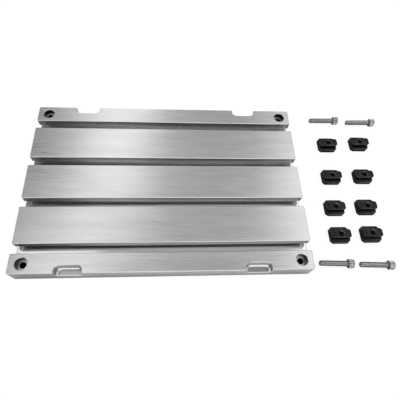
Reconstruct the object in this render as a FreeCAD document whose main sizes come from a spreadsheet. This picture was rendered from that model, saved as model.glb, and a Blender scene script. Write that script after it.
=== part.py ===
import FreeCAD, Part
import math
import os

import Sketcher
from FreeCAD import Vector

# T-slot fixture plate with its loose T-nuts and cap screws, in millimetres.
# The origin is the centre of the plate's underside, +X runs along the slots,
# +Y to the back and +Z up. The nuts and screws lie on the same surface as the
# plate, beside its right-hand end.

DRIVING_SIZES = {
    # Plate, milled from one flat bar; its width follows from the slots and rails
    "plate_length": 300.0,
    "plate_thickness": 20.0,
    "corner_radius": 1.5,
    "edge_break": 0.5,
    # T-slots, cut right through from end to end
    "slot_count": 4,
    "slot_pitch": 50.0,
    "slot_opening": 10.0,
    "rail_width": 20.0,
    "slot_lip": 8.5,
    "undercut_width": 19.0,
    "undercut_height": 5.0,
    # Counterbored screw holes near the corners
    "hole_end_margin": 12.0,
    "hole_side_margin": 10.0,
    "hole_clearance": 0.6,
    "counterbore_clearance": 2.0,
    "counterbore_recess": 0.5,
    # Clamping notches milled into the two long edges
    "notch_length": 27.0,
    "notch_centre": 93.5,
    "notch_reach": 8.0,
    "notch_depth": 10.0,
    "notch_radius": 6.0,
    "notch_floor_radius": 3.0,
    # T-nuts, a running fit in the slots
    "nut_length": 22.0,
    "nut_side_clearance": 0.3,
    "nut_flange_clearance": 0.6,
    "nut_height_clearance": 0.5,
    "nut_setback": 3.5,
    "flange_corner": 2.8,
    "neck_corner": 1.8,
    "nut_edge_break": 0.3,
    "thread_countersink": 0.8,
    # Socket head cap screws, M6
    "screw_diameter": 6.0,
    "thread_pitch": 1.0,
    "screw_length": 30.0,
    "head_diameter": 10.0,
    "head_height": 6.0,
    "head_chamfer": 0.6,
    "tip_chamfer": 0.8,
    "socket_width": 5.0,
    "socket_depth": 3.0,
    # Where the loose pieces lie: each row's gap from the plate's end, the space
    # between its two pieces, its distance behind the plate's middle line, and how
    # far behind the first piece the second one lies
    "nut_row_1_gap": 39.0,
    "nut_row_1_space": 19.5,
    "nut_row_1_y": 61.8,
    "nut_row_1_rise": 2.0,
    "nut_row_2_gap": 35.2,
    "nut_row_2_space": 17.3,
    "nut_row_2_y": 15.6,
    "nut_row_2_rise": 1.1,
    "nut_row_3_gap": 30.8,
    "nut_row_3_space": 15.5,
    "nut_row_3_y": -25.0,
    "nut_row_3_rise": 0.8,
    "nut_row_4_gap": 30.0,
    "nut_row_4_space": 14.2,
    "nut_row_4_y": -58.2,
    "nut_row_4_rise": 0.8,
    "screw_row_1_gap": 34.0,
    "screw_row_1_space": 12.6,
    "screw_row_1_y": 98.5,
    "screw_row_1_rise": -2.1,
    "screw_row_1_turn": -2.0,
    "screw_row_2_gap": 12.5,
    "screw_row_2_space": 8.2,
    "screw_row_2_y": -91.0,
    "screw_row_2_rise": -2.2,
    "screw_row_2_turn": -3.2,
}

NUT_ROWS = 4
SCREW_ROWS = 2
PIECES_IN_A_ROW = 2
CUT_OVERRUN = 5.0
TOLERANCE = 1e-4


class Size:
    """A number together with the sheet formula that it comes from."""

    def __init__(self, value, formula):
        self.value = value
        self.formula = formula

    def joined(self, other, sign, value):
        formula = other.formula if isinstance(other, Size) else repr(other)
        return Size(value, "(" + self.formula + " " + sign + " " + formula + ")")

    def __add__(self, other):
        return self.joined(other, "+", self.value + plain(other))

    def __sub__(self, other):
        return self.joined(other, "-", self.value - plain(other))

    def __mul__(self, other):
        return self.joined(other, "*", self.value * plain(other))

    def __truediv__(self, other):
        return self.joined(other, "/", self.value / plain(other))

    def __neg__(self):
        return self * -1


def plain(number):
    """The bare value of a Size or of a number."""
    return number.value if isinstance(number, Size) else number


def fill_sheet(document):
    """Write every driving size in the spreadsheet, one aliased cell each."""
    sheet = document.addObject("Spreadsheet::Sheet", "sizes")
    for row, (alias, value) in enumerate(DRIVING_SIZES.items(), start=1):
        sheet.set("A" + str(row), alias.replace("_", " "))
        sheet.set("B" + str(row), str(value))
        sheet.setAlias("B" + str(row), alias)
    return sheet


def size(alias):
    """A driving size, as a number tied to its cell."""
    return Size(DRIVING_SIZES[alias], "sizes." + alias)


def plate_width():
    """The slots at their pitch, with a rail outside the first and the last of them."""
    return size("slot_pitch") * (size("slot_count") - 1) + size("slot_opening") + size("rail_width") * 2


def bind(item, name, amount):
    """Tie one property of an object to the sheet."""
    item.setExpression(name, amount.formula)


def origin_feature(body, role):
    """The body's own origin plane or axis of that role."""
    return next(item for item in body.Origin.OriginFeatures if item.Role == role)


def new_sketch(body, name, role, height=None):
    """A sketch on one of the body's origin planes, raised by a height where given."""
    sketch = body.newObject("Sketcher::SketchObject", name)
    sketch.AttachmentSupport = (origin_feature(body, role), [""])
    sketch.MapMode = "FlatFace"
    if height is not None:
        bind(sketch, "AttachmentOffset.Base.z", height)
    return sketch


def pin_point(sketch, edge, end, x=None, y=None):
    """Hold one point of a sketch at its place, by one or both coordinates."""
    for kind, amount in (("DistanceX", x), ("DistanceY", y)):
        if amount is None:
            continue
        index = sketch.addConstraint(Sketcher.Constraint(kind, edge, end, plain(amount)))
        if isinstance(amount, Size):
            bind(sketch, "Constraints[" + str(index) + "]", amount)


def draw_outline(sketch, corners):
    """Draw a closed outline of straight edges through the corners."""
    first = sketch.GeometryCount
    count = len(corners)
    for number, (x, y) in enumerate(corners):
        next_x, next_y = corners[(number + 1) % count]
        start = Vector(plain(x), plain(y), 0)
        finish = Vector(plain(next_x), plain(next_y), 0)
        sketch.addGeometry(Part.LineSegment(start, finish), False)
    for number, (x, y) in enumerate(corners):
        follower = first + (number + 1) % count
        sketch.addConstraint(Sketcher.Constraint("Coincident", first + number, 2, follower, 1))
        pin_point(sketch, first + number, 1, x, y)


def draw_circle(sketch, x, y, diameter):
    """Draw a circle of that diameter round a point."""
    centre = Vector(plain(x), plain(y), 0)
    circle = Part.Circle(centre, Vector(0, 0, 1), plain(diameter) / 2)
    edge = sketch.addGeometry(circle, False)
    pin_point(sketch, edge, 3, x, y)
    index = sketch.addConstraint(Sketcher.Constraint("Diameter", edge, plain(diameter)))
    bind(sketch, "Constraints[" + str(index) + "]", diameter)


def chamfered_rectangle(length, width, corner):
    """The eight corners of a centred rectangle with its own corners cut off."""
    half_length = length / 2
    half_width = width / 2
    short_length = half_length - corner
    short_width = half_width - corner
    return [
        (-half_length, -short_width),
        (-short_length, -half_width),
        (short_length, -half_width),
        (half_length, -short_width),
        (half_length, short_width),
        (short_length, half_width),
        (-short_length, half_width),
        (-half_length, short_width),
    ]


def add_pad(body, name, sketch, length):
    """Extrude a sketch upwards by a length."""
    pad = body.newObject("PartDesign::Pad", name)
    pad.Profile = sketch
    bind(pad, "Length", length)
    sketch.Visibility = False
    return pad


def add_pocket(body, name, sketch, depth=None, both_ways=False):
    """Cut a sketch into the body, by a depth or right through, and make sure it cuts."""
    before = body.Shape.Volume
    pocket = body.newObject("PartDesign::Pocket", name)
    pocket.Profile = sketch
    pocket.Reversed = False
    pocket.Midplane = both_ways
    if depth is None:
        pocket.Type = "ThroughAll"
    else:
        pocket.Type = "Length"
        bind(pocket, "Length", depth)
    sketch.Visibility = False
    body.Document.recompute()
    if body.Shape.Volume >= before:
        raise RuntimeError(name + " cuts nothing")
    return pocket


def edge_names(shape, wanted):
    """Names of the shape's edges that a test picks."""
    return ["Edge" + str(number) for number, edge in enumerate(shape.Edges, start=1) if wanted(edge)]


def add_dress(body, kind, name, base, edges, amount_name, amount):
    """Chamfer or fillet the named edges of a feature."""
    dress = body.newObject("PartDesign::" + kind, name)
    dress.Base = (base, edges)
    bind(dress, amount_name, amount)
    body.Document.recompute()
    return dress


def lies_in_plane(edge, axis, place):
    """True where the whole edge lies in the plane across an axis (0, 1 or 2) at that place."""
    box = edge.BoundBox
    low = (box.XMin, box.YMin, box.ZMin)[axis]
    high = (box.XMax, box.YMax, box.ZMax)[axis]
    return abs(low - place) < TOLERANCE and abs(high - place) < TOLERANCE


def is_upright(edge):
    """True where the edge is a vertical line."""
    box = edge.BoundBox
    return box.XLength < TOLERANCE and box.YLength < TOLERANCE and box.ZLength > TOLERANCE


def new_body(document, node):
    """An empty body whose label names the node."""
    body = document.addObject("PartDesign::Body", node)
    body.Label = node
    return body


def cut_slots(body):
    """Mill the first T-slot from end to end and repeat it across the plate."""
    count = size("slot_count")
    pitch = size("slot_pitch")
    top = size("plate_thickness")
    middle = pitch * (count - 1) / -2
    neck = size("slot_opening") / 2
    undercut = size("undercut_width") / 2
    lip_underside = top - size("slot_lip")
    floor = lip_underside - size("undercut_height")
    sketch = new_sketch(body, "slot_profile", "YZ_Plane")
    draw_outline(sketch, [
        (middle - neck, top + CUT_OVERRUN),
        (middle - neck, lip_underside),
        (middle - undercut, lip_underside),
        (middle - undercut, floor),
        (middle + undercut, floor),
        (middle + undercut, lip_underside),
        (middle + neck, lip_underside),
        (middle + neck, top + CUT_OVERRUN),
    ])
    pocket = add_pocket(body, "first_slot", sketch, both_ways=True)
    pattern = body.newObject("PartDesign::LinearPattern", "slots")
    pattern.Originals = [pocket]
    pattern.Direction = (origin_feature(body, "Y_Axis"), [""])
    bind(pattern, "Length", pitch * (count - 1))
    bind(pattern, "Occurrences", count)
    body.Tip = pattern
    body.Document.recompute()


def cut_notches(body):
    """Mill one clamping notch into the front edge and mirror it to all four places."""
    left = size("notch_centre") - size("notch_length") / 2
    right = size("notch_centre") + size("notch_length") / 2
    outside = -(plate_width() / 2 + CUT_OVERRUN)
    inner = -(plate_width() / 2 - size("notch_reach"))
    radius = size("notch_radius")
    sketch = new_sketch(body, "notch_outline", "XY_Plane", size("plate_thickness"))
    runs = [
        ((left, inner - radius), (left, outside)),
        ((left, outside), (right, outside)),
        ((right, outside), (right, inner - radius)),
        ((right - radius, inner), (left + radius, inner)),
    ]
    for start, finish in runs:
        ends = [Vector(plain(x), plain(y), 0) for x, y in (start, finish)]
        edge = sketch.addGeometry(Part.LineSegment(*ends), False)
        pin_point(sketch, edge, 1, *start)
    for edge in (0, 1):
        sketch.addConstraint(Sketcher.Constraint("Coincident", edge, 2, edge + 1, 1))
    pin_point(sketch, 2, 2, *runs[2][1])
    pin_point(sketch, 3, 2, *runs[3][1])
    height = plain(inner - radius)
    for before, after, centre_x, start_angle in (
        (2, 3, right - radius, 0.0),
        (3, 0, left + radius, math.pi / 2),
    ):
        centre = Vector(plain(centre_x), height, 0)
        circle = Part.Circle(centre, Vector(0, 0, 1), plain(radius))
        arc = Part.ArcOfCircle(circle, start_angle, start_angle + math.pi / 2)
        edge = sketch.addGeometry(arc, False)
        sketch.addConstraint(Sketcher.Constraint("Coincident", edge, 1, before, 2))
        sketch.addConstraint(Sketcher.Constraint("Coincident", edge, 2, after, 1))
        pin_point(sketch, edge, 3, centre_x)
    pocket = add_pocket(body, "first_notch", sketch, depth=size("notch_depth"))
    notches = body.newObject("PartDesign::MultiTransform", "notches")
    notches.Originals = [pocket]
    mirrors = []
    for name, role in (("notch_to_left", "YZ_Plane"), ("notch_to_back", "XZ_Plane")):
        mirror = body.newObject("PartDesign::Mirrored", name)
        mirror.MirrorPlane = (origin_feature(body, role), [""])
        mirrors.append(mirror)
    notches.Transformations = mirrors
    body.Tip = notches
    body.Document.recompute()
    floor = plain(size("plate_thickness") - size("notch_depth"))
    inside = plate_width().value / 2 - TOLERANCE
    seams = edge_names(
        notches.Shape,
        lambda edge: lies_in_plane(edge, 2, floor) and abs(edge.BoundBox.Center.y) < inside,
    )
    add_dress(body, "Fillet", "notch_floors", notches, seams, "Radius", size("notch_floor_radius"))


def drill_corner_holes(body):
    """Drill and counterbore the four screw holes near the corners."""
    x = size("plate_length") / 2 - size("hole_end_margin")
    y = plate_width() / 2 - size("hole_side_margin")
    through = size("screw_diameter") + size("hole_clearance")
    counterbore = size("head_diameter") + size("counterbore_clearance")
    depth = size("head_height") + size("counterbore_recess")
    places = [(-x, -y), (x, -y), (x, y), (-x, y)]
    for name, diameter, cut_depth in (
        ("through_holes", through, None),
        ("counterbores", counterbore, depth),
    ):
        sketch = new_sketch(body, name + "_sketch", "XY_Plane", size("plate_thickness"))
        for place in places:
            draw_circle(sketch, *place, diameter)
        add_pocket(body, name, sketch, depth=cut_depth)


def make_plate(document):
    """The plate: a slotted, notched and drilled slab with broken edges."""
    body = new_body(document, "fixture_plate")
    half_length = size("plate_length") / 2
    half_width = plate_width() / 2
    sketch = new_sketch(body, "plate_outline", "XY_Plane")
    draw_outline(sketch, [
        (-half_length, -half_width),
        (half_length, -half_width),
        (half_length, half_width),
        (-half_length, half_width),
    ])
    pad = add_pad(body, "slab", sketch, size("plate_thickness"))
    document.recompute()
    corners = edge_names(pad.Shape, is_upright)
    add_dress(body, "Fillet", "rounded_corners", pad, corners, "Radius", size("corner_radius"))
    cut_slots(body)
    cut_notches(body)
    drill_corner_holes(body)
    break_edges(body)
    return body


def break_edges(body):
    """Chamfer the edges of the plate's six outer faces, but for the holes' rims underneath."""
    length = DRIVING_SIZES["plate_length"]
    width = plate_width().value
    thickness = DRIVING_SIZES["plate_thickness"]
    corner = DRIVING_SIZES["corner_radius"] + TOLERANCE
    sides = [(0, -length / 2), (0, length / 2), (1, -width / 2), (1, width / 2), (2, 0.0), (2, thickness)]

    def is_sharp(edge):
        at_corner = is_upright(edge) and (
            edge.BoundBox.Center.y ** 2 > (width / 2 - corner) ** 2
            and edge.BoundBox.Center.x ** 2 > (length / 2 - corner) ** 2
        )
        drilled_under = edge.isClosed() and lies_in_plane(edge, 2, 0.0)
        on_a_face = any(lies_in_plane(edge, axis, place) for axis, place in sides)
        return on_a_face and not (at_corner or drilled_under)

    base = body.Tip
    edges = edge_names(base.Shape, is_sharp)
    add_dress(body, "Chamfer", "broken_edges", base, edges, "Size", size("edge_break"))


def make_nut(document, node):
    """A T-nut: a flange that runs in the undercut and a neck that runs in the opening."""
    body = new_body(document, node)
    length = size("nut_length")
    flange_width = size("undercut_width") - size("nut_flange_clearance")
    flange_height = size("undercut_height") - size("nut_height_clearance")
    neck_width = size("slot_opening") - size("nut_side_clearance")
    neck_height = size("slot_lip") - size("nut_setback")
    thread_minor = size("screw_diameter") - size("thread_pitch")
    outline = new_sketch(body, "flange_outline", "XY_Plane")
    draw_outline(outline, chamfered_rectangle(length, flange_width, size("flange_corner")))
    add_pad(body, "flange", outline, flange_height)
    outline = new_sketch(body, "neck_outline", "XY_Plane", flange_height)
    draw_outline(outline, chamfered_rectangle(length, neck_width, size("neck_corner")))
    neck = add_pad(body, "neck", outline, neck_height)
    document.recompute()
    heights = (0.0, flange_height.value, flange_height.value + neck_height.value)
    rims = edge_names(neck.Shape, lambda edge: is_outer_rim(edge, heights, plain(neck_width)))
    add_dress(body, "Chamfer", "nut_edges", neck, rims, "Size", size("nut_edge_break"))
    hole = new_sketch(body, "thread_circle", "XY_Plane", flange_height + neck_height)
    draw_circle(hole, 0.0, 0.0, thread_minor)
    thread = add_pocket(body, "thread_bore", hole)
    nut_top = heights[2]
    mouth = edge_names(thread.Shape, lambda edge: is_bore_rim(edge, thread_minor.value, nut_top))
    add_dress(body, "Chamfer", "thread_mouth", thread, mouth, "Size", size("thread_countersink"))
    return body


def is_outer_rim(edge, heights, neck_width):
    """True for a level edge on the outside of a nut, not the root of its neck."""
    box = edge.BoundBox
    level = [height for height in heights if lies_in_plane(edge, 2, height)]
    if not level:
        return False
    at_shoulder = level[0] == heights[1]
    beside_neck = max(abs(box.YMin), abs(box.YMax)) <= neck_width / 2 + TOLERANCE
    return not (at_shoulder and beside_neck)


def is_bore_rim(edge, diameter, height):
    """True for a circle of that diameter at that height."""
    curve = edge.Curve
    round_rim = isinstance(curve, Part.Circle) and abs(curve.Radius * 2 - diameter) < TOLERANCE
    return round_rim and lies_in_plane(edge, 2, height)


def make_screw(document, node):
    """A socket head cap screw, its axis along X and its head's underside at the origin."""
    body = new_body(document, node)
    shank = size("screw_diameter") / 2
    head = size("head_diameter") / 2
    head_end = size("head_height")
    tip = -size("screw_length")
    rim = size("head_chamfer")
    point = size("tip_chamfer")
    profile = new_sketch(body, "half_profile", "XZ_Plane")
    draw_outline(profile, [
        (tip, 0.0),
        (tip, shank - point),
        (tip + point, shank),
        (0.0, shank),
        (0.0, head),
        (head_end - rim, head),
        (head_end, head - rim),
        (head_end, 0.0),
    ])
    turned = body.newObject("PartDesign::Revolution", "turned_blank")
    turned.Profile = profile
    turned.ReferenceAxis = (origin_feature(body, "X_Axis"), [""])
    turned.Angle = 360.0
    profile.Visibility = False
    document.recompute()
    socket = new_sketch(body, "socket_hexagon", "YZ_Plane", head_end)
    across_flats = size("socket_width") / 2
    corner = across_flats / math.cos(math.pi / 6)
    draw_outline(socket, [
        (corner * math.cos(math.pi / 3 * turn), corner * math.sin(math.pi / 3 * turn)) for turn in range(6)
    ])
    add_pocket(body, "socket", socket, depth=size("socket_depth"))
    return body


def table_place(prefix, column, length, ahead):
    """Where a loose piece lies in its row, its own origin a distance ahead of its left end."""
    first = size("plate_length") / 2 + size(prefix + "gap") + ahead
    x = first + (length + size(prefix + "space")) * column
    y = size(prefix + "y") + size(prefix + "rise") * column
    return x.formula, y.formula


def lay_nut(body, row, column):
    """Put a nut on the table, flange down, at its place in the rows."""
    length = size("nut_length")
    x, y = table_place("nut_row_" + str(row) + "_", column, length, length / 2)
    body.setExpression("Placement", "placement(vector(" + x + "; " + y + "; 0); rotation(0; 0; 0))")


def lay_screw(body, row, column):
    """Lay a screw on the table, where it rests on its head's rim and its tip."""
    prefix = "screw_row_" + str(row) + "_"
    shank_length = size("screw_length")
    x, y = table_place(prefix, column, shank_length + size("head_height"), shank_length)
    head = size("head_diameter") / 2
    step = head - size("screw_diameter") / 2
    run = shank_length - size("tip_chamfer")
    tilt = "atan(" + (step / run).formula + ")"
    centre = "vector(" + x + "; " + y + "; " + head.formula + " * cos(" + tilt + "))"
    turn = "rotation(" + size(prefix + "turn").formula + "; -" + tilt + "; 0)"
    body.setExpression("Placement", "placement(" + centre + "; " + turn + ")")


def make_loose_pieces(document, make, lay, node_stem, rows):
    """Make the pieces of one kind, row by row, and lay each at its own place."""
    pieces = []
    for row in range(1, rows + 1):
        for column in range(PIECES_IN_A_ROW):
            node = node_stem + str(len(pieces) + 1)
            piece = make(document, node)
            lay(piece, row, column)
            pieces.append(piece)
    return pieces


def check_model(document, pieces):
    """Stop where an object failed or a piece isn't one valid solid."""
    for item in document.Objects:
        if "Invalid" in item.State or "Error" in item.State:
            raise RuntimeError(item.Label + " failed: " + str(item.State))
    for piece in pieces:
        shape = piece.Shape
        if shape.isNull() or not shape.isValid() or len(shape.Solids) != 1:
            raise RuntimeError(piece.Label + " is not one valid solid")


def main():
    document = FreeCAD.newDocument("t_slot_fixture_plate")
    fill_sheet(document)
    document.recompute()
    pieces = [make_plate(document)]
    pieces += make_loose_pieces(document, make_nut, lay_nut, "t_nut_", NUT_ROWS)
    pieces += make_loose_pieces(document, make_screw, lay_screw, "cap_screw_", SCREW_ROWS)
    document.recompute()
    check_model(document, pieces)
    os.makedirs("parts", exist_ok=True)
    for piece in pieces:
        piece.Shape.exportStep(os.path.join("parts", piece.Label + ".step"))
        box = piece.Shape.BoundBox
        corners = [round(value, 2) for value in (box.XMin, box.YMin, box.ZMin, box.XMax, box.YMax, box.ZMax)]
        print(piece.Label, "volume", round(piece.Shape.Volume, 1), "mm3, box", corners)


main()
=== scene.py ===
# %% [markdown]
# # A milled fixture plate with its T-nuts and cap screws
#
# A workholding set as it lies on a white studio table: one aluminium plate with four T-slots, eight
# black T-nuts that run in those slots, and four socket head cap screws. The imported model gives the
# sizes and the places. This script gives it light, finishes, and the detail that a solid model leaves
# out: real threads, a knurled head, worn edges.

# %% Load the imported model
import math

import bmesh
import bpy
from mathutils import Matrix, Vector


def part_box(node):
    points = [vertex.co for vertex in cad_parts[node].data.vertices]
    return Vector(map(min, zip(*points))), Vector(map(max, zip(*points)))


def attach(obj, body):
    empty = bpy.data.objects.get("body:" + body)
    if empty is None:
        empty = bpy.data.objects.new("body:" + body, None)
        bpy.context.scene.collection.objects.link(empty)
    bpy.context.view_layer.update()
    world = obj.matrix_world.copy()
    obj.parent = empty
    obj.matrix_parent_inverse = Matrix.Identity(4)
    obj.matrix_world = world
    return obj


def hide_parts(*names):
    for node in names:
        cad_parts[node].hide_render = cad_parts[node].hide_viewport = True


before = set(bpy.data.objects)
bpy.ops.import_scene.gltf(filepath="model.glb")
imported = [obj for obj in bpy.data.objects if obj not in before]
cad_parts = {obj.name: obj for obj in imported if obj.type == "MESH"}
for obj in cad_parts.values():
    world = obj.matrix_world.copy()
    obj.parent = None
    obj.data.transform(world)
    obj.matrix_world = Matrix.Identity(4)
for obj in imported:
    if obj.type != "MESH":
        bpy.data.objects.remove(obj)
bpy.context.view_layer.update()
MM = 0.001
print("nodes:", len(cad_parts))

# %% [markdown]
# ## The camera
#
# The photograph was taken from above and in front, at about 64 degrees down, with a slightly wide lens
# held a little out of level. The three directions below were worked out from the plate's own corners
# and slots, so that its picture falls on the same pixels.

# %% Put the camera where the photograph was taken
CAMERA_PLACE = Vector((7.537, -184.648, 356.943)) * MM
TO_THE_RIGHT = Vector((0.99707216, -0.03421018, 0.06838695))
UPWARDS = Vector((0.00124066, 0.90145964, 0.43286138))
BACKWARDS = Vector((-0.07645634, -0.43150918, 0.89886275))

camera_data = bpy.data.cameras.new("studio_camera")
camera_data.sensor_width = 36.0
camera_data.lens = 31.387
camera_data.clip_start = 0.01
camera = bpy.data.objects.new("studio_camera", camera_data)
facing_plate = Matrix((TO_THE_RIGHT, UPWARDS, BACKWARDS)).transposed().to_4x4()
camera.matrix_world = Matrix.Translation(CAMERA_PLACE) @ facing_plate
bpy.context.scene.collection.objects.link(camera)
bpy.context.scene.camera = camera
bpy.context.scene.view_settings.view_transform = "Standard"
print("camera", round(CAMERA_PLACE.z / MM), "mm above the table")

# %% [markdown]
# ## Helpers for materials
#
# Colours are written as the hex values that a picture shows. Blender works in linear light, so one
# function turns them. A second one adds a node, sets it and links it, so that a material reads as a
# list of its layers.

# %% Colour and node helpers
NOISE_LOW = 0.3   # a noise texture seldom leaves this range
NOISE_HIGH = 0.7


def linear(hex_colour):
    """A hex sRGB colour as linear light, with full opacity."""
    channels = [int(hex_colour[start:start + 2], 16) / 255 for start in (1, 3, 5)]
    return [c / 12.92 if c <= 0.04045 else ((c + 0.055) / 1.055) ** 2.4 for c in channels] + [1.0]


def add_node(tree, kind, inputs=None, **settings):
    """Add a node, give it its settings, and set or link its inputs."""
    node = tree.nodes.new("ShaderNode" + kind)
    for name, value in settings.items():
        setattr(node, name, value)
    for name, value in (inputs or {}).items():
        if isinstance(value, bpy.types.NodeSocket):
            tree.links.new(value, node.inputs[name])
        else:
            node.inputs[name].default_value = value
    return node


def new_material(name):
    """A material with an empty node tree and its output."""
    material = bpy.data.materials.new(name)
    material.use_nodes = True
    material.node_tree.nodes.clear()
    return material, material.node_tree, add_node(material.node_tree, "OutputMaterial")


print("mid grey #808080 is", round(linear("#808080")[0], 3), "in linear light")

# %% [markdown]
# ## The table
#
# A product shot stands on a white sweep that is lit until it is pure white, and only a faint shadow is
# left round each piece. The floor is a pale diffuse surface with a glow of its own that the camera and
# the metal see. Close to a piece and under it the glow that the metal sees is painted darker, a painted
# contact shade like that on a real table, so that holes look dark and the sides of small parts stay deep.
# The glow that the metal sees is also painted darker to the far left and to the right, where the sweep of
# the photograph was lit less: that painted shade darkens the left end of the plate's front side, and the
# sides of the small pieces.

# %% Lay the table
SWEEP_SIZE = 40.0           # metres, so that its rim is never seen
# Round each piece the glow that the metal sees is painted darker: a painted contact shade
CONTACT_REACH = 45 * MM     # how far round a piece the table is shaded
CONTACT_FALL = 3.5          # how fast the shade deepens towards the piece
GLOW_FOR_CAMERA = 0.86
# The glow for the metal, painted darker at the sides: from this X to that X in metres it changes from one
# share to the other
LEFT_FADE = (-0.22, 0.0, 0.12, 0.98)
RIGHT_FADE = (0.06, 0.20, 1.0, 0.40)

plate_low, plate_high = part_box("fixture_plate")

floor_mesh = bpy.data.meshes.new("table_top")
floor_bm = bmesh.new()
bmesh.ops.create_grid(floor_bm, x_segments=1, y_segments=1, size=SWEEP_SIZE)
floor_bm.to_mesh(floor_mesh)
floor_bm.free()
table_top = bpy.data.objects.new("table_top", floor_mesh)
bpy.context.scene.collection.objects.link(table_top)

# Lit white sweep: diffuse, with a glow that the camera sees everywhere and the metal sees in the open;
# the metal's glow has painted shade near each piece and at the sides
sweep, tree, output = new_material("lit_white_sweep")
openness = add_node(tree, "AmbientOcclusion", {"Distance": CONTACT_REACH}, samples=8)
painted_contact_shade = add_node(tree, "Math", {0: openness.outputs["AO"], 1: CONTACT_FALL}, operation="POWER")
across = add_node(tree, "SeparateXYZ", {0: add_node(tree, "TexCoord").outputs["Object"]})
fades = []
for start, end, first, last in (LEFT_FADE, RIGHT_FADE):
    fade = add_node(tree, "MapRange", {"Value": across.outputs["X"], "From Min": start, "From Max": end,
                                       "To Min": first, "To Max": last}, interpolation_type="SMOOTHSTEP")
    fades.append(fade.outputs[0])
# Painted shade at the far left and right of the glow that the metal sees
painted_side_shade = add_node(tree, "Math", {0: fades[0], 1: fades[1]}, operation="MULTIPLY")
glow_for_metal_shaded = add_node(tree, "Math", {0: painted_contact_shade.outputs[0], 1: painted_side_shade.outputs[0]}, operation="MULTIPLY")
path = add_node(tree, "LightPath")
glow = add_node(tree, "Mix", {"Factor": path.outputs["Is Camera Ray"], 2: glow_for_metal_shaded.outputs[0],
                              3: GLOW_FOR_CAMERA}, data_type="FLOAT")
shine = add_node(tree, "Emission", {"Color": linear("#FFFFFF"), "Strength": glow.outputs[0]})
shade = add_node(tree, "BsdfDiffuse", {"Color": linear("#8A8A8A")})
seen = add_node(tree, "AddShader", {0: shine.outputs[0], 1: shade.outputs[0]})
bounce = add_node(tree, "BsdfDiffuse", {"Color": linear("#E2E2E2")})
glossy = add_node(tree, "Math", {0: path.outputs["Is Camera Ray"], 1: path.outputs["Is Glossy Ray"]},
                  operation="MAXIMUM")
shown = add_node(tree, "Math", {0: glossy.outputs[0], 1: path.outputs["Is Transmission Ray"]},
                 operation="MAXIMUM")
floor_mix = add_node(tree, "MixShader", {0: shown.outputs[0], 1: bounce.outputs[0], 2: seen.outputs[0]})
tree.links.new(floor_mix.outputs[0], output.inputs["Surface"])
floor_mesh.materials.append(sweep)
print("table laid under a plate of", round((plate_high.x - plate_low.x) / MM), "mm")

# %% [markdown]
# ## The light
#
# Brushed metal has no colour of its own: it shows the room. The bright patch across the left third of
# the plate is the picture of two strips overhead, a long one behind and a short one in front, both to
# the left. The scratches run from left to right and smear that picture front to back, so it turns into
# a band. A wide wing lifts the plate's right end, and a weak box behind the camera lights the walls
# that face it. Big softboxes at the left and in front light the edges and the small parts. The room
# itself is a plain grey that gets darker towards the floor, which gives the round screws their dark
# outline, and its ceiling is dim at the left, so that the band has a dark side there.

# %% Hang the lights
# Name, place, target, direction of its length, width and length in metres, and how bright its face shows
SOFTBOXES = (
    ("strip_overhead", (-0.29, 0.97, 1.20), (-0.08, 0.10, 0.0), (0.10, 1.0, 0.0), 0.36, 1.25, 1.08),
    ("strip_near", (-0.53, 0.10, 1.20), (-0.08, -0.10, 0.0), (0.2, 1.0, 0.0), 0.36, 0.46, 1.55),
    ("wing_overhead", (0.98, 0.30, 1.20), (0.15, -0.05, 0.0), (-0.1, 1.0, 0.0), 0.80, 1.5, 0.95),
    ("fill_behind_camera", (0.08, -0.72, 1.35), (0.05, 0.0, 0.0), (1.0, 0.0, 0.0), 0.5, 1.1, 0.6),
    ("softbox_left", (-1.60, 0.10, 0.80), (0.0, 0.0, 0.0), (0.0, 1.0, 0.0), 1.0, 1.2, 1.0),
    ("softbox_front", (0.0, -1.55, 0.75), (0.0, 0.0, 0.0), (0.0, 0.0, 1.0), 2.4, 1.0, 1.1),
)
# The room's light: from this height or side (-1 to 1) to that one it changes from one strength to
# the other
ROOM_BY_HEIGHT = (0.0, 0.5, 0.16, 0.43)
CEILING_BY_SIDE = (-0.42, -0.06, 0.12, 1.0)
CEILING_BEGINS = (0.50, 0.78, 0.0, 1.0)


def hang_softbox(name, place, target, long_side, width, length, radiance):
    """A rectangular area light that faces a target; radiance is how bright its face shows."""
    data = bpy.data.lights.new(name, "AREA")
    data.shape = "RECTANGLE"
    data.size = width
    data.size_y = length
    data.energy = radiance * math.pi * width * length
    light = bpy.data.objects.new(name, data)
    back = (Vector(place) - Vector(target)).normalized()
    side = Vector(long_side).cross(back).normalized()
    aim = Matrix((side, back.cross(side), back)).transposed().to_4x4()
    light.matrix_world = Matrix.Translation(place) @ aim
    bpy.context.scene.collection.objects.link(light)


for softbox in SOFTBOXES:
    hang_softbox(*softbox)

room = bpy.data.worlds.new("studio_room")
room.use_nodes = True
room.node_tree.nodes.clear()
tree = room.node_tree
direction = add_node(tree, "SeparateXYZ", {0: add_node(tree, "TexCoord").outputs["Generated"]})
changes = []
for axis, spans in (("Z", ROOM_BY_HEIGHT), ("X", CEILING_BY_SIDE), ("Z", CEILING_BEGINS)):
    start, end, first, last = spans
    change = add_node(tree, "MapRange", {"Value": direction.outputs[axis], "From Min": start,
                                         "From Max": end, "To Min": first, "To Max": last},
                      interpolation_type="SMOOTHSTEP")
    changes.append(change.outputs[0])
grey, dim_side, overhead = changes
ceiling = add_node(tree, "Mix", {"Factor": overhead, 2: 1.0, 3: dim_side}, data_type="FLOAT")
shaded = add_node(tree, "Math", {0: grey, 1: ceiling.outputs[0]}, operation="MULTIPLY")
wall_light = add_node(tree, "Background", {"Color": linear("#FFFFFF"), "Strength": shaded.outputs[0]})
add_node(tree, "OutputWorld", {"Surface": wall_light.outputs[0]})
bpy.context.scene.world = room
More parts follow.
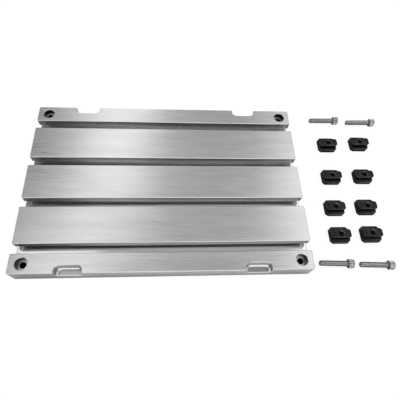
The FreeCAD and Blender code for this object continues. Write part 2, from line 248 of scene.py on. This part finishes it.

# %% [markdown]
# ## Brushed aluminium
#
# The plate is milled from 6061 aluminium and its faces are brushed with a belt along its length. Each
# scratch is a tiny groove, so the shine is narrow along the brushing and wide across it: an anisotropic
# gloss whose tangent lies across the scratches. Round bores and the plate's two ends have no lengthwise
# grain, so there the tangent turns upright.
#
# Real brushing is about 0.05 mm wide, which no pixel here can show, so it is drawn as 0.9 mm streaks
# 30 mm long. They change the colour a little, the roughness more, and tilt the surface by a hair.
#
# Below the work face the tools left other finishes, and each is found by its place on the plate: smooth
# slots, dull notch floors, and screw holes with turned seats. The walls of the notches, the slots' mouths
# and the screw holes, and the notches' floors, are painted darker greys there: painted shade in these
# recesses.

# %% Brushed aluminium for the plate
STREAK_LENGTH = 30 * MM
STREAK_WIDTH = 0.9 * MM
PATCH_LENGTH = 70 * MM
PATCH_WIDTH = 9 * MM
WANDER_LENGTH = 45 * MM
WANDER = 2.5 * MM
SCRATCH_DEPTH = 0.028 * MM
LEFT_IN_POCKETS = 0.03          # share of the scratches that shows below the work face
# Distances in from the plate's faces, which tell the finishes apart
BELT_REACH = 0.6 * MM
MOUTH_DEPTH = 8.4 * MM
NOTCH_REACH = 9.0 * MM
HOLE_ZONE = 20.0 * MM
HOLE_FROM_END = 12.0 * MM
HOLE_FROM_SIDE = 10.0 * MM
# Radii that take in the wall of a counterbore, and the wall of the bore under it
COUNTERBORE_RADIUS = 6.1 * MM
BORE_RADIUS = 3.5 * MM

aluminium, tree, output = new_material("brushed_6061_aluminium")
place = add_node(tree, "TexCoord").outputs["Object"]
normal = add_node(tree, "NewGeometry").outputs["Normal"]
facing = add_node(tree, "SeparateXYZ", {0: normal})
endwise = add_node(tree, "Math", {0: facing.outputs["X"]}, operation="ABSOLUTE")
at_end = add_node(tree, "Math", {0: endwise.outputs[0], 1: 0.7}, operation="GREATER_THAN")

# The belt wanders a little sideways as it runs, so the scratches are not quite straight
wander = add_node(tree, "TexNoise", {"Vector": place, "Scale": 1 / WANDER_LENGTH, "Detail": 1.0})
sideways = add_node(tree, "MapRange", {"Value": wander.outputs[0], "From Min": NOISE_LOW,
                                       "From Max": NOISE_HIGH, "To Min": -WANDER, "To Max": WANDER})
drift = add_node(tree, "CombineXYZ", {1: sideways.outputs[0]})
drifted = add_node(tree, "VectorMath", {0: place, 1: drift.outputs[0]}, operation="ADD")

# Two grains, one along the plate and one across its ends
along = (1 / STREAK_LENGTH, 1 / STREAK_WIDTH, 1 / STREAK_WIDTH)
across = (1 / STREAK_WIDTH, 1 / STREAK_LENGTH, 1 / STREAK_WIDTH)
grain_along = add_node(tree, "Mapping", {"Vector": drifted.outputs[0], "Scale": along})
grain_across = add_node(tree, "Mapping", {"Vector": place, "Scale": across})
grain = add_node(tree, "Mix", {"Factor": at_end.outputs[0], 4: grain_along.outputs[0],
                               5: grain_across.outputs[0]}, data_type="VECTOR")
streaks = add_node(tree, "TexNoise", {"Vector": grain.outputs[1], "Scale": 1.0, "Detail": 4.0,
                                      "Roughness": 0.65, "Distortion": 0.25})

# Broad patches, where the belt pressed harder, under the streaks
patch = (1 / PATCH_LENGTH, 1 / PATCH_WIDTH, 1 / PATCH_WIDTH)
patch_place = add_node(tree, "Mapping", {"Vector": place, "Scale": patch})
patches = add_node(tree, "TexNoise", {"Vector": patch_place.outputs[0], "Scale": 1.0, "Detail": 2.0})
blend = add_node(tree, "Mix", {"Factor": 0.35, 2: streaks.outputs[0], 3: patches.outputs[0]},
                 data_type="FLOAT")

colour = add_node(tree, "ValToRGB", {0: blend.outputs[0]})
colour.color_ramp.elements[0].position = NOISE_LOW
colour.color_ramp.elements[0].color = linear("#D3D3D3")
colour.color_ramp.elements[1].position = NOISE_HIGH
colour.color_ramp.elements[1].color = linear("#F0F0F0")
rubbed = add_node(tree, "MapRange", {"Value": streaks.outputs[0], "From Min": NOISE_LOW,
                                     "From Max": NOISE_HIGH, "To Min": 0.26, "To Max": 0.38})

# The belt never reached below the work face, so the cutters' smoother finish is left there. Only the
# notches' floors, which a blunt end mill wiped over, are as dull as the work face.
at = add_node(tree, "SeparateXYZ", {0: place})
width = add_node(tree, "Math", {0: at.outputs["Y"]}, operation="ABSOLUTE")
length = add_node(tree, "Math", {0: at.outputs["X"]}, operation="ABSOLUTE")
below = add_node(tree, "Math", {0: at.outputs["Z"], 1: plate_high.z - BELT_REACH}, operation="LESS_THAN")
from_side = add_node(tree, "Math", {0: width.outputs[0], 1: plate_high.y - BELT_REACH},
                     operation="LESS_THAN")
from_end = add_node(tree, "Math", {0: length.outputs[0], 1: plate_high.x - BELT_REACH},
                    operation="LESS_THAN")
inner = add_node(tree, "Math", {0: from_side.outputs[0], 1: from_end.outputs[0]}, operation="MULTIPLY")
pocket = add_node(tree, "Math", {0: inner.outputs[0], 1: below.outputs[0]}, operation="MULTIPLY")
level = add_node(tree, "Math", {0: facing.outputs["Z"], 1: 0.95}, operation="GREATER_THAN")
near_side = add_node(tree, "Math", {0: width.outputs[0], 1: plate_high.y - NOTCH_REACH},
                     operation="GREATER_THAN")
floors = add_node(tree, "Math", {0: level.outputs[0], 1: pocket.outputs[0]}, operation="MULTIPLY")
off_hole = add_node(tree, "Math", {0: length.outputs[0], 1: plate_high.x - HOLE_ZONE},
                    operation="LESS_THAN")
beside = add_node(tree, "Math", {0: near_side.outputs[0], 1: off_hole.outputs[0]}, operation="MULTIPLY")
notch_floor = add_node(tree, "Math", {0: beside.outputs[0], 1: floors.outputs[0]}, operation="MULTIPLY")
machined = add_node(tree, "Math", {0: pocket.outputs[0], 1: notch_floor.outputs[0]}, operation="SUBTRACT",
                    use_clamp=True)
cut_finish = add_node(tree, "MapRange", {"Value": patches.outputs[0], "From Min": NOISE_LOW,
                                         "From Max": NOISE_HIGH, "To Min": 0.16, "To Max": 0.21})
roughness = add_node(tree, "Mix", {"Factor": machined.outputs[0], 2: rubbed.outputs[0],
                                   3: cut_finish.outputs[0]}, data_type="FLOAT")

# A cut face has an even, light grey with little of the streaks left
calm = add_node(tree, "Math", {0: machined.outputs[0], 1: 0.9}, operation="MULTIPLY")
even = add_node(tree, "Mix", {"Factor": calm.outputs[0], 6: colour.outputs[0], 7: linear("#E4E4E4")},
                data_type="RGBA")

# The walls of the notches and the slots' mouths are painted a darker grey, and the notches' floors a
# grey too: painted shade in these recesses. The floors' dull roughness is the cutter's blunt end.
upright = add_node(tree, "Math", {0: facing.outputs["Z"], 1: 0.5}, operation="LESS_THAN")
above_undercut = add_node(tree, "Math", {0: at.outputs["Z"], 1: plate_high.z - MOUTH_DEPTH},
                          operation="GREATER_THAN")
wall = add_node(tree, "Math", {0: upright.outputs[0], 1: above_undercut.outputs[0]}, operation="MULTIPLY")
painted_wall_shade = add_node(tree, "Math", {0: wall.outputs[0], 1: pocket.outputs[0]}, operation="MULTIPLY")
walls_shaded = add_node(tree, "Mix", {"Factor": painted_wall_shade.outputs[0], 6: even.outputs[2], 7: linear("#BCBDBE")},
                  data_type="RGBA")
floors_shaded = add_node(tree, "Mix", {"Factor": notch_floor.outputs[0], 6: walls_shaded.outputs[2],
                                 7: linear("#B4B5B6")}, data_type="RGBA")

# The walls of the four screw holes are painted dark grey: painted shade down in the holes. The seats of
# the screws' heads are turned, which leaves them light but dull.
from_hole_x = add_node(tree, "Math", {0: length.outputs[0], 1: plate_high.x - HOLE_FROM_END},
                       operation="SUBTRACT")
from_hole_y = add_node(tree, "Math", {0: width.outputs[0], 1: plate_high.y - HOLE_FROM_SIDE},
                       operation="SUBTRACT")
from_hole = add_node(tree, "CombineXYZ", {0: from_hole_x.outputs[0], 1: from_hole_y.outputs[0]})
off_axis = add_node(tree, "VectorMath", {0: from_hole.outputs[0]}, operation="LENGTH")
bore = add_node(tree, "Math", {0: above_undercut.outputs[0], 1: COUNTERBORE_RADIUS - BORE_RADIUS,
                               2: BORE_RADIUS}, operation="MULTIPLY_ADD")
in_hole = add_node(tree, "Math", {0: off_axis.outputs["Value"], 1: bore.outputs[0]},
                   operation="LESS_THAN")
hole_wall = add_node(tree, "Math", {0: in_hole.outputs[0], 1: upright.outputs[0]}, operation="MULTIPLY")
painted_hole_shade = add_node(tree, "Math", {0: hole_wall.outputs[0], 1: pocket.outputs[0]}, operation="MULTIPLY")
seat = add_node(tree, "Math", {0: in_hole.outputs[0], 1: floors.outputs[0]}, operation="MULTIPLY")
seated = add_node(tree, "Mix", {"Factor": seat.outputs[0], 6: floors_shaded.outputs[2], 7: linear("#E0E0E1")},
                  data_type="RGBA")
holes_shaded = add_node(tree, "Mix", {"Factor": painted_hole_shade.outputs[0], 6: seated.outputs[2], 7: linear("#242426")},
                  data_type="RGBA")
faced = add_node(tree, "Mix", {"Factor": seat.outputs[0], 2: roughness.outputs[0], 3: 0.42},
                 data_type="FLOAT")

# The scratches stand out on the belted faces and hardly below them
belted = add_node(tree, "MapRange", {"Value": machined.outputs[0], "To Min": 1.0,
                                     "To Max": LEFT_IN_POCKETS})
ridges = add_node(tree, "Math", {0: streaks.outputs[0], 1: belted.outputs[0]}, operation="MULTIPLY")
scratches = add_node(tree, "Bump", {"Height": ridges.outputs[0], "Distance": SCRATCH_DEPTH,
                                    "Strength": 1.0})

# The tangent lies across the scratches, because the gloss is wide there
grain_axis = add_node(tree, "Mix", {"Factor": at_end.outputs[0], 4: (1, 0, 0), 5: (0, 1, 0)},
                      data_type="VECTOR")
tangent = add_node(tree, "VectorMath", {0: normal, 1: grain_axis.outputs[1]}, operation="CROSS_PRODUCT")
metal = add_node(tree, "BsdfPrincipled", {
    "Base Color": holes_shaded.outputs[2],
    "Metallic": 1.0,
    "Roughness": faced.outputs[0],
    "Anisotropic": 0.75,
    "Tangent": tangent.outputs[0],
    "Normal": scratches.outputs[0],
})
tree.links.new(metal.outputs[0], output.inputs["Surface"])

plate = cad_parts["fixture_plate"]
plate.data.materials.clear()
plate.data.materials.append(aluminium)
print("plate facets:", len(plate.data.polygons))

# %% [markdown]
# ## Black oxide steel
#
# The T-nuts are blackened in a hot salt bath. It leaves a thin, dark, slightly satin skin. Handling
# wears it off along the edges first, where grey steel shines through, so the edges get a finish of
# their own. The tapped hole is glossier and painted a darker black, which is painted shade inside the
# hole, and the hole's mouth is painted a lighter grey, which is a painted highlight.

# %% Black oxide, whole and worn
MOTTLE = 3 * MM
GRIT = 0.5 * MM
PIT_DEPTH = 0.02 * MM


def oxide_skin(name, dark, light, rough_low, rough_high):
    """A blackened steel surface: mottled between two greys, with an uneven satin shine."""
    material, tree, output = new_material(name)
    place = add_node(tree, "TexCoord").outputs["Object"]
    mottle = add_node(tree, "TexNoise", {"Vector": place, "Scale": 1 / MOTTLE, "Detail": 3.0})
    pits = add_node(tree, "TexNoise", {"Vector": place, "Scale": 1 / GRIT, "Detail": 2.0})
    mixed = add_node(tree, "Mix", {"Factor": 0.4, 2: mottle.outputs[0], 3: pits.outputs[0]},
                     data_type="FLOAT")
    colour = add_node(tree, "ValToRGB", {0: mixed.outputs[0]})
    colour.color_ramp.elements[0].position = 0.35
    colour.color_ramp.elements[0].color = linear(dark)
    colour.color_ramp.elements[1].position = 0.68
    colour.color_ramp.elements[1].color = linear(light)
    roughness = add_node(tree, "MapRange", {"Value": pits.outputs[0], "From Min": NOISE_LOW,
                                            "From Max": NOISE_HIGH, "To Min": rough_low,
                                            "To Max": rough_high})
    dents = add_node(tree, "Bump", {"Height": pits.outputs[0], "Distance": PIT_DEPTH, "Strength": 0.6})
    skin = add_node(tree, "BsdfPrincipled", {"Base Color": colour.outputs[0], "Metallic": 1.0,
                                             "Roughness": roughness.outputs[0],
                                             "Normal": dents.outputs[0]})
    tree.links.new(skin.outputs[0], output.inputs["Surface"])
    return material


# The nuts' faces keep the numbers 0 to 3 for these
NUT_FINISHES = [
    oxide_skin("black_oxide_on_steel", "#28282A", "#3A3A3C", 0.30, 0.42),
    oxide_skin("black_oxide_worn_at_edges", "#48484A", "#8A8A8C", 0.30, 0.42),
    # Painted shade: the tapped bore's darker black
    oxide_skin("black_oxide_painted_shade_in_bore", "#121213", "#1E1E1F", 0.16, 0.24),
    # Painted highlight: the countersunk mouth's lighter grey
    oxide_skin("black_oxide_painted_highlight_at_mouth", "#3C3C3E", "#98989A", 0.08, 0.16),
]
WORN, SHADED_BORE, MOUTH_HIGHLIGHT = 1, 2, 3
print("oxide finishes:", [finish.name for finish in NUT_FINISHES])

# %% [markdown]
# ## Bright screw steel
#
# The cap screws are stainless: rolled threads and a knurled head, tumbled clean. It is a plain bright
# metal with fine rolling marks, greyer than aluminium.

# %% Stainless steel for the screws
ROLLING_MARKS = 0.8 * MM

stainless, tree, output = new_material("rolled_a2_stainless")
place = add_node(tree, "TexCoord").outputs["Object"]
marks = add_node(tree, "TexNoise", {"Vector": place, "Scale": 1 / ROLLING_MARKS, "Detail": 3.0})
colour = add_node(tree, "ValToRGB", {0: marks.outputs[0]})
colour.color_ramp.elements[0].position = NOISE_LOW
colour.color_ramp.elements[0].color = linear("#7E7E7F")
colour.color_ramp.elements[1].position = NOISE_HIGH
colour.color_ramp.elements[1].color = linear("#D8D8D9")
roughness = add_node(tree, "MapRange", {"Value": marks.outputs[0], "From Min": NOISE_LOW,
                                        "From Max": NOISE_HIGH, "To Min": 0.08, "To Max": 0.16})
steel = add_node(tree, "BsdfPrincipled", {"Base Color": colour.outputs[0], "Metallic": 1.0,
                                          "Roughness": roughness.outputs[0]})
tree.links.new(steel.outputs[0], output.inputs["Surface"])
print("screw finish:", stainless.name)

# %% [markdown]
# ## A real thread
#
# A screw thread is one V-shaped ridge wound round a rod. The profile of the whole rod's side is drawn
# once as a zigzag line, and the spin operator turns it while it moves up by one pitch a turn, so each
# end of the zigzag lands on its neighbour. Two cuts trim the ends square and a face closes each.

# %% Wind a threaded rod
PITCH = 1.0 * MM
THREAD_STEPS = 32
TOUCHING = 0.001 * MM


def wind_thread(bm, start, length, crest, root):
    """A rod along Z with a right-hand thread, from start upwards."""
    ridge = ((-1 / 16, crest), (1 / 16, crest), (6 / 16, root), (10 / 16, root))
    line = []
    for turn in range(-1, round(length / PITCH) + 2):
        for part, radius in ridge:
            line.append(bm.verts.new((radius, 0.0, start + (turn + part) * PITCH)))
    for lower, upper in zip(line, line[1:]):
        bm.edges.new((lower, upper))
    bmesh.ops.spin(bm, geom=bm.verts[:] + bm.edges[:], cent=(0, 0, 0), axis=(0, 0, 1),
                   dvec=(0, 0, PITCH / THREAD_STEPS), angle=2 * math.pi, steps=THREAD_STEPS,
                   use_merge=False, use_duplicate=False)
    bmesh.ops.remove_doubles(bm, verts=bm.verts[:], dist=TOUCHING)
    for height, outwards in ((start, -1), (start + length, 1)):
        bmesh.ops.bisect_plane(bm, geom=bm.verts[:] + bm.edges[:] + bm.faces[:], dist=TOUCHING / 10,
                               plane_co=(0, 0, height), plane_no=(0, 0, outwards), clear_outer=True)
        rim = [edge for edge in bm.edges
               if edge.is_boundary and all(abs(v.co.z - height) < TOUCHING for v in edge.verts)]
        bmesh.ops.edgeloop_fill(bm, edges=rim)
    bmesh.ops.recalc_face_normals(bm, faces=bm.faces[:])


def finish_mesh(bm, name, finishes):
    """Turn a bmesh into an object with its finishes."""
    mesh = bpy.data.meshes.new(name)
    bm.to_mesh(mesh)
    bm.free()
    for finish in finishes:
        mesh.materials.append(finish)
    piece = bpy.data.objects.new(name, mesh)
    bpy.context.scene.collection.objects.link(piece)
    return piece


def combine(piece, tool, operation):
    """Join a tool to a piece or cut it out, and keep only the result."""
    step = piece.modifiers.new("combine", "BOOLEAN")
    step.operation = operation
    step.object = tool
    step.solver = "EXACT"
    evaluated = piece.evaluated_get(bpy.context.evaluated_depsgraph_get())
    result = bpy.data.meshes.new_from_object(evaluated)
    piece.modifiers.clear()
    piece.data = result
    bpy.data.objects.remove(tool)


def smooth_round_faces(mesh):
    """Shade curved faces smooth and keep every edge over 35 degrees sharp."""
    mesh.shade_smooth()
    mesh.set_sharp_from_angle(angle=math.radians(35))


# %% [markdown]
# ## The T-nut
#
# The nut is a flange that runs in the slot's undercut and a neck that runs in its opening. Both are
# blocks with their corners milled off. Each starts as a rectangle whose four corners are bevelled, is
# extruded, and gets its edges broken. Then they are joined, a tap cuts the thread, and a cone opens
# its mouth.

# %% Build one T-nut
nut_low, nut_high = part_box("t_nut_1")
NUT_LENGTH = nut_high.x - nut_low.x
FLANGE_WIDTH = nut_high.y - nut_low.y
NUT_HEIGHT = nut_high.z - nut_low.z
FLANGE_HEIGHT = 4.5 * MM
FLANGE_CORNER = 2.8 * MM
NECK_WIDTH = 9.7 * MM
NECK_CORNER = 1.8 * MM
NECK_ROOT = 1.0 * MM        # the neck starts inside the flange, so that the two join
EDGE_BREAK = 0.3 * MM
TAP_CREST = 3.05 * MM
TAP_ROOT = 2.5 * MM
TAP_OVERRUN = 1.0 * MM
CONE_SMALL = 2.0 * MM
CONE_LARGE = 3.9 * MM
CONE_LENGTH = 1.9 * MM
CONE_SINK = 1.3 * MM


def milled_block(name, length, width, bottom, top, corner, edge_break):
    """A block with its upright corners cut off and its level rims broken."""
    bm = bmesh.new()
    bmesh.ops.create_grid(bm, x_segments=1, y_segments=1, size=0.5)
    bmesh.ops.scale(bm, vec=(length, width, 1.0), verts=bm.verts[:])
    bmesh.ops.translate(bm, vec=(0.0, 0.0, bottom), verts=bm.verts[:])
    bmesh.ops.bevel(bm, geom=bm.verts[:], offset=corner, offset_type="OFFSET", segments=1,
                    profile=0.5, affect="VERTICES", material=-1)
    grown = bmesh.ops.extrude_face_region(bm, geom=bm.faces[:])["geom"]
    lifted = [item for item in grown if isinstance(item, bmesh.types.BMVert)]
    bmesh.ops.translate(bm, vec=(0.0, 0.0, top - bottom), verts=lifted)
    bmesh.ops.recalc_face_normals(bm, faces=bm.faces[:])
    rims = [edge for edge in bm.edges if abs(edge.verts[0].co.z - edge.verts[1].co.z) < TOUCHING / 10]
    broken = bmesh.ops.bevel(bm, geom=rims, offset=edge_break, offset_type="OFFSET", segments=2,
                             profile=0.5, affect="EDGES", material=-1)
    for face in broken["faces"]:
        face.material_index = WORN
    return finish_mesh(bm, name, NUT_FINISHES)


def build_nut():
    """One T-nut about the origin, flange down, with a tapped M6 hole."""
    nut = milled_block("t_nut_flange", NUT_LENGTH, FLANGE_WIDTH, 0.0, FLANGE_HEIGHT, FLANGE_CORNER,
                       EDGE_BREAK)
    neck = milled_block("t_nut_neck", NUT_LENGTH, NECK_WIDTH, NECK_ROOT, NUT_HEIGHT, NECK_CORNER,
                        EDGE_BREAK)
    combine(nut, neck, "UNION")
    bm = bmesh.new()
    wind_thread(bm, -TAP_OVERRUN, NUT_HEIGHT + 2 * TAP_OVERRUN, TAP_CREST, TAP_ROOT)
    # The tap's faces take the bore's darker black, painted shade inside the hole
    for face in bm.faces:
        face.material_index = SHADED_BORE
    combine(nut, finish_mesh(bm, "tap", NUT_FINISHES), "DIFFERENCE")
    bm = bmesh.new()
    middle = NUT_HEIGHT - CONE_SINK + CONE_LENGTH / 2
    bmesh.ops.create_cone(bm, cap_ends=True, segments=48, radius1=CONE_SMALL, radius2=CONE_LARGE,
                          depth=CONE_LENGTH, matrix=Matrix.Translation((0, 0, middle)))
    # The cone's faces take the lighter grey, a painted highlight at the hole's mouth
    for face in bm.faces:
        face.material_index = MOUTH_HIGHLIGHT
    combine(nut, finish_mesh(bm, "countersink", NUT_FINISHES), "DIFFERENCE")
    smooth_round_faces(nut.data)
    return nut


nut = build_nut()
print("one nut:", len(nut.data.polygons), "faces,",
      "size in mm:", [round(v / MM, 2) for v in nut.dimensions])

# %% [markdown]
# ## The cap screw
#
# The head is a knurled cylinder with a chamfered top and a hexagon socket. It grows from one disc: the
# top face is extruded again and again, and each new ring is moved to its own height and radius. On the
# knurled rings every second point stands lower, which makes the straight ridges. The shank is the same
# threaded rod as the tap, with its tip turned down to a chamfer.

# %% Build one cap screw
SHANK_LENGTH = 30 * MM
SHANK_RADIUS = 3.0 * MM
SHANK_ROOT = 2.42 * MM
SHANK_JOIN = 0.5 * MM       # how far the shank reaches into the head
TIP_CHAMFER = 0.8 * MM
HEAD_HEIGHT = 6 * MM
HEAD_RADIUS = 5 * MM
UNDERSIDE_RADIUS = 4.7 * MM
KNURL_RIDGES = 32
KNURL_DEPTH = 0.36 * MM
SOCKET_WIDTH = 5.0 * MM     # across the flats
SOCKET_DEPTH = 3.0 * MM
KEY_LENGTH = 4.0 * MM
# The head's rings from its underside up: height and radius in mm, and whether the knurl crosses it
HEAD_RINGS = (
    (0.25, 5.0, True),
    (4.9, 5.0, True),
    (5.25, 4.9, False),
    (5.75, 4.65, False),
    (6.0, 4.3, False),
)


def turned_head():
    """The knurled head, from its underside at the origin up along Z."""
    bm = bmesh.new()
    bmesh.ops.create_circle(bm, cap_ends=True, segments=2 * KNURL_RIDGES,
                            radius=UNDERSIDE_RADIUS)
    top = bm.faces[:]
    for height, radius, knurled in HEAD_RINGS:
        grown = bmesh.ops.extrude_face_region(bm, geom=top)["geom"]
        ring = [item for item in grown if isinstance(item, bmesh.types.BMVert)]
        for vert in ring:
            angle = math.atan2(vert.co.y, vert.co.x)
            step = round(angle / (math.pi / KNURL_RIDGES))
            low = knurled and step % 2 == 1
            reach = radius * MM - (KNURL_DEPTH if low else 0.0)
            vert.co = Vector((reach * math.cos(angle), reach * math.sin(angle), height * MM))
        top = [item for item in grown if isinstance(item, bmesh.types.BMFace)]
    bmesh.ops.recalc_face_normals(bm, faces=bm.faces[:])
    return finish_mesh(bm, "screw_head", [stainless])


def build_screw():
    """One M6 x 30 socket head cap screw along Z, its head's underside at the origin."""
    screw = turned_head()
    bm = bmesh.new()
    wind_thread(bm, -SHANK_LENGTH, SHANK_LENGTH + SHANK_JOIN, SHANK_RADIUS, SHANK_ROOT)
    for vert in bm.verts:
        limit = SHANK_RADIUS - TIP_CHAMFER + (vert.co.z + SHANK_LENGTH)
        reach = vert.co.to_2d().length
        if reach > limit:
            vert.co.x *= limit / reach
            vert.co.y *= limit / reach
    combine(screw, finish_mesh(bm, "shank", [stainless]), "UNION")
    bm = bmesh.new()
    corner = SOCKET_WIDTH / 2 / math.cos(math.pi / 6)
    middle = HEAD_HEIGHT - SOCKET_DEPTH + KEY_LENGTH / 2
    bmesh.ops.create_cone(bm, cap_ends=True, segments=6, radius1=corner, radius2=corner,
                          depth=KEY_LENGTH, matrix=Matrix.Translation((0, 0, middle)))
    combine(screw, finish_mesh(bm, "hexagon_key", [stainless]), "DIFFERENCE")
    smooth_round_faces(screw.data)
    return screw


screw = build_screw()
print("one screw:", len(screw.data.polygons), "faces,",
      "size in mm:", [round(v / MM, 2) for v in screw.dimensions])

# %% [markdown]
# ## Set the pieces out
#
# Each loose piece gets its own copy of the mesh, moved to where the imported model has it. A screw lies
# on the rim of its head and on its tip, so it leans a little, and each pair is turned a little on the
# table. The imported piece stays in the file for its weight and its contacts, but these are the ones seen.

# %% Copy the nuts and screws to their places
def set_out(pattern, name, node, body, turn):
    """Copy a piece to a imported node's place and let it stand for that node."""
    mesh = pattern.data.copy()
    mesh.name = name
    mesh.transform(turn)
    low = Vector([min(v.co[axis] for v in mesh.vertices) for axis in range(3)])
    high = Vector([max(v.co[axis] for v in mesh.vertices) for axis in range(3)])
    node_low, node_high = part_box(node)
    shift = (node_low + node_high - low - high) / 2
    shift.z = node_low.z - low.z
    mesh.transform(Matrix.Translation(shift))
    piece = bpy.data.objects.new(name, mesh)
    bpy.context.scene.collection.objects.link(piece)
    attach(piece, body)
    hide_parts(node)


NUTS = 8
for number in range(1, NUTS + 1):
    set_out(nut, f"tapped_t_nut_{number}", f"t_nut_{number}", f"nut_{number}",
            Matrix.Identity(4))

LEAN = math.atan((HEAD_RADIUS - SHANK_RADIUS) / (SHANK_LENGTH - TIP_CHAMFER))
LIE_DOWN = Matrix.Rotation(math.pi / 2, 4, "Y")
SCREW_TURNS = (-2.0, -2.0, -3.2, -3.2)      # degrees, seen from above
for number, turn in enumerate(SCREW_TURNS, start=1):
    lay = Matrix.Rotation(math.radians(turn), 4, "Z") @ Matrix.Rotation(-LEAN, 4, "Y") @ LIE_DOWN
    set_out(screw, f"threaded_cap_screw_{number}", f"cap_screw_{number}", f"screw_{number}",
            lay)

bpy.data.objects.remove(nut)
bpy.data.objects.remove(screw)
print("pieces set out:", NUTS, "nuts,", len(SCREW_TURNS), "screws")
